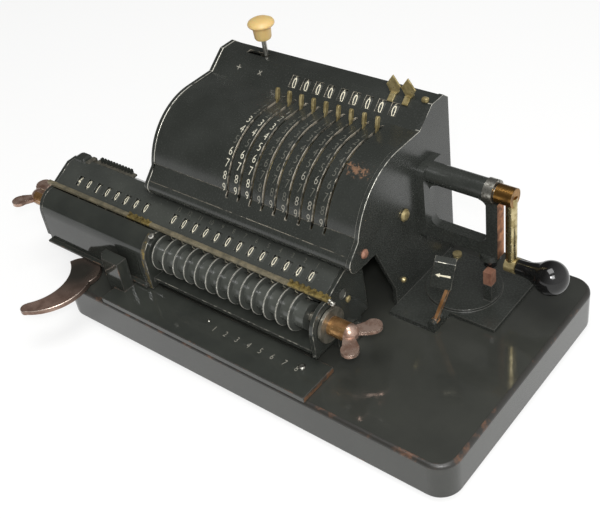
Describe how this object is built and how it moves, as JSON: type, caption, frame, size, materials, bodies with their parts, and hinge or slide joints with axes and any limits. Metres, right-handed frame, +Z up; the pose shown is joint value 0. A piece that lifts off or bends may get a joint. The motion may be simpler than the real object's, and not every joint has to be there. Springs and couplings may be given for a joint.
{
  "type": "mechanical calculator",
  "caption": "Hand-cranked desk calculator: lever-set drum, check windows, sliding register carriage with thumbwheels and clearing nuts, ball-handled crank on a black base.",
  "frame": {"origin": "on the table plane under the middle of the overall box at rest", "axes": "+X to the crank side, +Y to the back, +Z up; the front with the thumbwheels faces -Y"},
  "size_m": [0.384, 0.2128, 0.175],
  "materials": {
    "base_wood": "black enamel over hardwood",
    "rubber": "matt",
    "black_enamel": "glossy stoved enamel, worn at the edges",
    "steel": "machined",
    "brass": "dull, aged",
    "black_ball": "polished",
    "ivory": "aged, polished",
    "copper": "worn nickel over copper alloy",
    "digit_black": "satin",
    "wheel_black": "blackened, rims worn bright"
  },
  "bodies": {
    "frame": {"base": "base_wood", "base_feet": "rubber", "scale_rail": "black_enamel", "guide_rail": "steel", "left_side_plate": "black_enamel", "right_side_plate": "black_enamel", "top_cover": "black_enamel", "rear_cover": "black_enamel", "crank_bracket": "black_enamel", "frame_screws": "brass"},
    "crank_latch": {"crank_latch": "black_enamel"},
    "rotor": {"rotor": "steel"},
    "crank": {"crank_shaft": "steel", "crank_arm": "brass"},
    "crank_handle": {"crank_handle": "black_ball"},
    "function_lever": {"function_lever": "steel", "function_knob": "ivory"},
    "marker_left": {"marker_left": "brass"},
    "marker_right": {"marker_right": "brass"},
    "arrow_lever": {"arrow_lever": "black_enamel"},
    "shift_lever": {"shift_lever": "copper"},
    "carriage": {"carriage_frame": "black_enamel", "register_cover": "black_enamel", "counter_cover": "black_enamel", "pointer_rail": "brass"},
    "result_digits": {"result_digits": "digit_black"},
    "counter_digits": {"counter_digits": "digit_black"},
    "result_nut": {"result_wing_nut": "copper"},
    "counter_nut": {"counter_wing_nut": "copper"},
    "setting_1": {"setting_lever_1": "brass"},
    "setting_2": {"setting_lever_2": "brass"},
    "setting_3": {"setting_lever_3": "brass"},
    "setting_4": {"setting_lever_4": "brass"},
    "setting_5": {"setting_lever_5": "brass"},
    "setting_6": {"setting_lever_6": "brass"},
    "setting_7": {"setting_lever_7": "brass"},
    "setting_8": {"setting_lever_8": "brass"},
    "setting_9": {"setting_lever_9": "brass"},
    "dial_1": {"check_dial_1": "digit_black"},
    "dial_2": {"check_dial_2": "digit_black"},
    "dial_3": {"check_dial_3": "digit_black"},
    "dial_4": {"check_dial_4": "digit_black"},
    "dial_5": {"check_dial_5": "digit_black"},
    "dial_6": {"check_dial_6": "digit_black"},
    "dial_7": {"check_dial_7": "digit_black"},
    "dial_8": {"check_dial_8": "digit_black"},
    "dial_9": {"check_dial_9": "digit_black"},
    "thumb_1": {"thumbwheel_1": "wheel_black"},
    "thumb_2": {"thumbwheel_2": "wheel_black"},
    "thumb_3": {"thumbwheel_3": "wheel_black"},
    "thumb_4": {"thumbwheel_4": "wheel_black"},
    "thumb_5": {"thumbwheel_5": "wheel_black"},
    "thumb_6": {"thumbwheel_6": "wheel_black"},
    "thumb_7": {"thumbwheel_7": "wheel_black"},
    "thumb_8": {"thumbwheel_8": "wheel_black"},
    "thumb_9": {"thumbwheel_9": "wheel_black"},
    "thumb_10": {"thumbwheel_10": "wheel_black"},
    "thumb_11": {"thumbwheel_11": "wheel_black"},
    "thumb_12": {"thumbwheel_12": "wheel_black"},
    "thumb_13": {"thumbwheel_13": "wheel_black"}
  },
  "joints": [
    {"name": "carriage_slide", "type": "slide", "parent": "frame", "child": "carriage", "axis": [1, 0, 0], "range_m": [0, 0.0665]},
    {"name": "rotor_turn", "type": "hinge", "parent": "frame", "child": "rotor", "pos_m": [-0.00267, 0.0407, 0.0926], "axis": [1, 0, 0], "continuous": true},
    {"name": "crank_turn", "type": "hinge", "parent": "frame", "child": "crank", "pos_m": [0.09707, 0.0644, 0.1105], "axis": [1, 0, 0], "continuous": true},
    {"name": "handle_spin", "type": "hinge", "parent": "crank", "child": "crank_handle", "pos_m": [0.15707, 0.0644, 0.0612], "axis": [1, 0, 0], "continuous": true},
    {"name": "setting_1", "type": "hinge", "parent": "frame", "child": "setting_1", "pos_m": [-0.00267, 0.0407, 0.0926], "axis": [1, 0, 0], "range_deg": [0, 88.5]},
    {"name": "setting_2", "type": "hinge", "parent": "frame", "child": "setting_2", "pos_m": [0.00683, 0.0407, 0.0926], "axis": [1, 0, 0], "range_deg": [0, 88.5]},
    {"name": "setting_3", "type": "hinge", "parent": "frame", "child": "setting_3", "pos_m": [0.01632, 0.0407, 0.0926], "axis": [1, 0, 0], "range_deg": [0, 88.5]},
    {"name": "setting_4", "type": "hinge", "parent": "frame", "child": "setting_4", "pos_m": [0.02583, 0.0407, 0.0926], "axis": [1, 0, 0], "range_deg": [0, 88.5]},
    {"name": "setting_5", "type": "hinge", "parent": "frame", "child": "setting_5", "pos_m": [0.03533, 0.0407, 0.0926], "axis": [1, 0, 0], "range_deg": [0, 88.5]},
    {"name": "setting_6", "type": "hinge", "parent": "frame", "child": "setting_6", "pos_m": [0.04482, 0.0407, 0.0926], "axis": [1, 0, 0], "range_deg": [0, 88.5]},
    {"name": "setting_7", "type": "hinge", "parent": "frame", "child": "setting_7", "pos_m": [0.05432, 0.0407, 0.0926], "axis": [1, 0, 0], "range_deg": [0, 88.5]},
    {"name": "setting_8", "type": "hinge", "parent": "frame", "child": "setting_8", "pos_m": [0.06383, 0.0407, 0.0926], "axis": [1, 0, 0], "range_deg": [0, 88.5]},
    {"name": "setting_9", "type": "hinge", "parent": "frame", "child": "setting_9", "pos_m": [0.07333, 0.0407, 0.0926], "axis": [1, 0, 0], "range_deg": [0, 88.5]},
    {"name": "dial_1", "type": "hinge", "parent": "frame", "child": "dial_1", "pos_m": [-0.00267, 0.07907, 0.13369], "axis": [1, 0, 0], "range_deg": [-340, 12]},
    {"name": "dial_2", "type": "hinge", "parent": "frame", "child": "dial_2", "pos_m": [0.00683, 0.07907, 0.13369], "axis": [1, 0, 0], "range_deg": [-340, 12]},
    {"name": "dial_3", "type": "hinge", "parent": "frame", "child": "dial_3", "pos_m": [0.01632, 0.07907, 0.13369], "axis": [1, 0, 0], "range_deg": [-340, 12]},
    {"name": "dial_4", "type": "hinge", "parent": "frame", "child": "dial_4", "pos_m": [0.02583, 0.07907, 0.13369], "axis": [1, 0, 0], "range_deg": [-340, 12]},
    {"name": "dial_5", "type": "hinge", "parent": "frame", "child": "dial_5", "pos_m": [0.03533, 0.07907, 0.13369], "axis": [1, 0, 0], "range_deg": [-340, 12]},
    {"name": "dial_6", "type": "hinge", "parent": "frame", "child": "dial_6", "pos_m": [0.04482, 0.07907, 0.13369], "axis": [1, 0, 0], "range_deg": [-340, 12]},
    {"name": "dial_7", "type": "hinge", "parent": "frame", "child": "dial_7", "pos_m": [0.05432, 0.07907, 0.13369], "axis": [1, 0, 0], "range_deg": [-340, 12]},
    {"name": "dial_8", "type": "hinge", "parent": "frame", "child": "dial_8", "pos_m": [0.06383, 0.07907, 0.13369], "axis": [1, 0, 0], "range_deg": [-340, 12]},
    {"name": "dial_9", "type": "hinge", "parent": "frame", "child": "dial_9", "pos_m": [0.07333, 0.07907, 0.13369], "axis": [1, 0, 0], "range_deg": [-340, 12]},
    {"name": "thumb_1", "type": "hinge", "parent": "carriage", "child": "thumb_1", "pos_m": [-0.04317, -0.0286, 0.056], "axis": [1, 0, 0], "continuous": true},
    {"name": "thumb_2", "type": "hinge", "parent": "carriage", "child": "thumb_2", "pos_m": [-0.03367, -0.0286, 0.056], "axis": [1, 0, 0], "continuous": true},
    {"name": "thumb_3", "type": "hinge", "parent": "carriage", "child": "thumb_3", "pos_m": [-0.02417, -0.0286, 0.056], "axis": [1, 0, 0], "continuous": true},
    {"name": "thumb_4", "type": "hinge", "parent": "carriage", "child": "thumb_4", "pos_m": [-0.01468, -0.0286, 0.056], "axis": [1, 0, 0], "continuous": true},
    {"name": "thumb_5", "type": "hinge", "parent": "carriage", "child": "thumb_5", "pos_m": [-0.00517, -0.0286, 0.056], "axis": [1, 0, 0], "continuous": true},
    {"name": "thumb_6", "type": "hinge", "parent": "carriage", "child": "thumb_6", "pos_m": [0.00432, -0.0286, 0.056], "axis": [1, 0, 0], "continuous": true},
    {"name": "thumb_7", "type": "hinge", "parent": "carriage", "child": "thumb_7", "pos_m": [0.01383, -0.0286, 0.056], "axis": [1, 0, 0], "continuous": true},
    {"name": "thumb_8", "type": "hinge", "parent": "carriage", "child": "thumb_8", "pos_m": [0.02332, -0.0286, 0.056], "axis": [1, 0, 0], "continuous": true},
    {"name": "thumb_9", "type": "hinge", "parent": "carriage", "child": "thumb_9", "pos_m": [0.03283, -0.0286, 0.056], "axis": [1, 0, 0], "continuous": true},
    {"name": "thumb_10", "type": "hinge", "parent": "carriage", "child": "thumb_10", "pos_m": [0.04233, -0.0286, 0.056], "axis": [1, 0, 0], "continuous": true},
    {"name": "thumb_11", "type": "hinge", "parent": "carriage", "child": "thumb_11", "pos_m": [0.05183, -0.0286, 0.056], "axis": [1, 0, 0], "continuous": true},
    {"name": "thumb_12", "type": "hinge", "parent": "carriage", "child": "thumb_12", "pos_m": [0.06132, -0.0286, 0.056], "axis": [1, 0, 0], "continuous": true},
    {"name": "thumb_13", "type": "hinge", "parent": "carriage", "child": "thumb_13", "pos_m": [0.07082, -0.0286, 0.056], "axis": [1, 0, 0], "continuous": true},
    {"name": "result_digits_turn", "type": "hinge", "parent": "carriage", "child": "result_digits", "pos_m": [0.01733, -0.0131, 0.0673], "axis": [1, 0, 0], "continuous": true},
    {"name": "counter_digits_turn", "type": "hinge", "parent": "carriage", "child": "counter_digits", "pos_m": [-0.10268, -0.0131, 0.0673], "axis": [1, 0, 0], "continuous": true},
    {"name": "result_nut_turn", "type": "hinge", "parent": "carriage", "child": "result_nut", "pos_m": [0.08933, -0.0286, 0.056], "axis": [1, 0, 0], "continuous": true},
    {"name": "counter_nut_turn", "type": "hinge", "parent": "carriage", "child": "counter_nut", "pos_m": [-0.15868, -0.0286, 0.056], "axis": [1, 0, 0], "continuous": true},
    {"name": "function_slide", "type": "slide", "parent": "frame", "child": "function_lever", "axis": [1, 0, 0], "range_m": [-0.0133, 0]},
    {"name": "marker_left_slide", "type": "slide", "parent": "frame", "child": "marker_left", "axis": [1, 0, 0], "range_m": [-0.065, 0]},
    {"name": "marker_right_slide", "type": "slide", "parent": "frame", "child": "marker_right", "axis": [1, 0, 0], "range_m": [0, 0.004]},
    {"name": "arrow_lever_tilt", "type": "hinge", "parent": "frame", "child": "arrow_lever", "pos_m": [0.12746, 0.0229, 0.0362], "axis": [0, -1, 0], "range_deg": [0, 28]},
    {"name": "shift_lever_turn", "type": "hinge", "parent": "frame", "child": "shift_lever", "pos_m": [-0.10967, -0.0576, 0.0304], "axis": [0, 0, 1], "range_deg": [-12, 12], "stiffness_Nm_per_rad": 0.15},
    {"name": "crank_latch_press", "type": "slide", "parent": "frame", "child": "crank_latch", "axis": [0, 0, -1], "range_m": [0, 0.004], "stiffness_N_per_m": 200, "springref_m": -0.004}
  ],
  "couplings": [
    {"joint": "crank_turn", "follows": "rotor_turn", "ratio": -1},
    {"joint": "dial_1", "follows": "setting_1", "ratio": -3.661},
    {"joint": "dial_2", "follows": "setting_2", "ratio": -3.661},
    {"joint": "dial_3", "follows": "setting_3", "ratio": -3.661},
    {"joint": "dial_4", "follows": "setting_4", "ratio": -3.661},
    {"joint": "dial_5", "follows": "setting_5", "ratio": -3.661},
    {"joint": "dial_6", "follows": "setting_6", "ratio": -3.661},
    {"joint": "dial_7", "follows": "setting_7", "ratio": -3.661},
    {"joint": "dial_8", "follows": "setting_8", "ratio": -3.661},
    {"joint": "dial_9", "follows": "setting_9", "ratio": -3.661},
    {"joint": "result_digits_turn", "follows": "result_nut_turn", "ratio": -1},
    {"joint": "counter_digits_turn", "follows": "counter_nut_turn", "ratio": -1}
  ]
}
